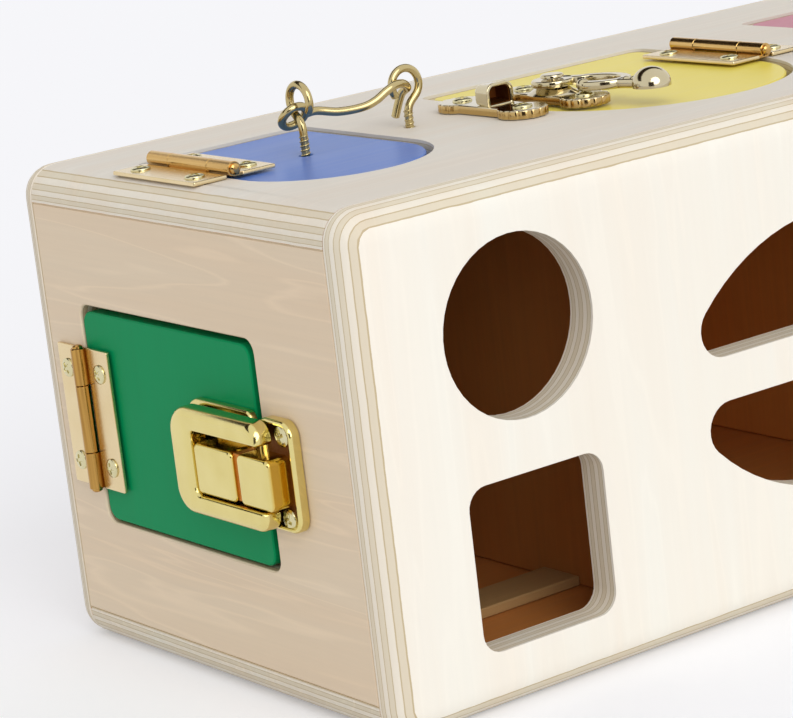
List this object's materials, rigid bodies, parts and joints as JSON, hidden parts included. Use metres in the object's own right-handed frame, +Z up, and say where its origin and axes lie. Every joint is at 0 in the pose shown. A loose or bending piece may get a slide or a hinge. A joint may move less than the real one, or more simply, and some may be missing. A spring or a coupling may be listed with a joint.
{
  "type": "shape sorter box",
  "caption": "Rounded plywood box with shape holes in its front and painted hinged doors in its end and top, each door with its own kind of latch.",
  "frame": {"origin": "middle of the box's underside, where it stands on a table", "axes": "+X along the length toward the end with no door, +Y from the front with the shape holes to the back, +Z up"},
  "size_m": [0.2966, 0.147, 0.1443],
  "materials": {
    "plywood": "fine-sanded birch plywood",
    "green_paint": "satin green paint on plywood",
    "blue_paint": "satin blue paint on plywood",
    "yellow_paint": "satin yellow paint on plywood",
    "pink_paint": "satin pink paint on plywood",
    "brass": "bright brass plate",
    "pale_brass": "pale polished brass plate"
  },
  "bodies": {
    "case": {"front_sheet": "plywood", "back_sheet": "plywood", "top_sheet": "plywood", "bottom_sheet": "plywood", "left_end_sheet": "plywood", "right_end_sheet": "plywood", "left_divider": "plywood", "right_divider": "plywood", "floor_batten": "plywood", "green_door_stop": "plywood", "blue_door_stop": "plywood", "yellow_door_stop": "plywood", "pink_door_stop": "plywood", "green_hinge_case_leaf": "brass", "green_hinge_pin": "brass", "green_hinge_case_screw_1": "brass", "green_hinge_case_screw_2": "brass", "blue_hinge_case_leaf": "brass", "blue_hinge_pin": "brass", "blue_hinge_case_screw_1": "brass", "blue_hinge_case_screw_2": "brass", "yellow_hinge_case_leaf": "brass", "yellow_hinge_pin": "brass", "yellow_hinge_case_screw_1": "brass", "yellow_hinge_case_screw_2": "brass", "pink_hinge_case_leaf": "brass", "pink_hinge_pin": "brass", "pink_hinge_case_screw_1": "brass", "pink_hinge_case_screw_2": "brass", "latch_keeper": "brass", "case_screw_eye": "pale_brass", "clasp_keeper": "pale_brass", "bolt_keeper": "brass"},
    "green_door_body": {"green_door": "green_paint", "green_hinge_door_leaf": "brass", "green_hinge_door_screw_1": "brass", "green_hinge_door_screw_2": "brass", "latch_catch": "brass", "latch_pin": "brass"},
    "latch_lever_body": {"latch_lever": "brass"},
    "blue_door_body": {"blue_door": "blue_paint", "blue_hinge_door_leaf": "brass", "blue_hinge_door_screw_1": "brass", "blue_hinge_door_screw_2": "brass", "door_screw_eye": "pale_brass"},
    "hook_body": {"hook": "pale_brass"},
    "yellow_door_body": {"yellow_door": "yellow_paint", "yellow_hinge_door_leaf": "brass", "yellow_hinge_door_screw_1": "brass", "yellow_hinge_door_screw_2": "brass", "clasp_base": "pale_brass", "clasp_rivet": "pale_brass"},
    "clasp_arm_body": {"clasp_arm": "pale_brass"},
    "pink_door_body": {"pink_door": "pink_paint", "pink_hinge_door_leaf": "brass", "pink_hinge_door_screw_1": "brass", "pink_hinge_door_screw_2": "brass", "bolt_plate": "brass"},
    "bolt_body": {"bolt_bar": "brass"}
  },
  "joints": [
    {"name": "green_door_hinge", "type": "hinge", "parent": "case", "child": "green_door_body", "pos_m": [-0.1462, 0.0482, 0.063], "axis": [0, 0, -1], "range_deg": [0, 165]},
    {"name": "latch_lever_pivot", "type": "hinge", "parent": "green_door_body", "child": "latch_lever_body", "pos_m": [-0.1493, -0.0033, 0.0616], "axis": [0, 0, -1], "range_deg": [0, 100]},
    {"name": "blue_door_hinge", "type": "hinge", "parent": "case", "child": "blue_door_body", "pos_m": [-0.127, 0.0125, 0.1282], "axis": [0, -1, 0], "range_deg": [0, 110]},
    {"name": "hook_swing", "type": "hinge", "parent": "blue_door_body", "child": "hook_body", "pos_m": [-0.09644, 0.00315, 0.13552], "axis": [0.9043, -0.2955, -0.3082], "range_deg": [0, 65]},
    {"name": "yellow_door_hinge", "type": "hinge", "parent": "case", "child": "yellow_door_body", "pos_m": [0.03725, 0.0025, 0.1282], "axis": [0, 1, 0], "range_deg": [0, 110]},
    {"name": "clasp_arm_pivot", "type": "hinge", "parent": "yellow_door_body", "child": "clasp_arm_body", "pos_m": [-0.02805, -0.0065, 0.13], "axis": [0, 0, -1], "range_deg": [-30, 70]},
    {"name": "pink_door_hinge", "type": "hinge", "parent": "case", "child": "pink_door_body", "pos_m": [0.127, 0.0125, 0.1282], "axis": [0, 1, 0], "range_deg": [0, 110]},
    {"name": "bolt_slide", "type": "slide", "parent": "pink_door_body", "child": "bolt_body", "axis": [-1, 0, 0], "range_m": [0, 0.014]}
  ]
}
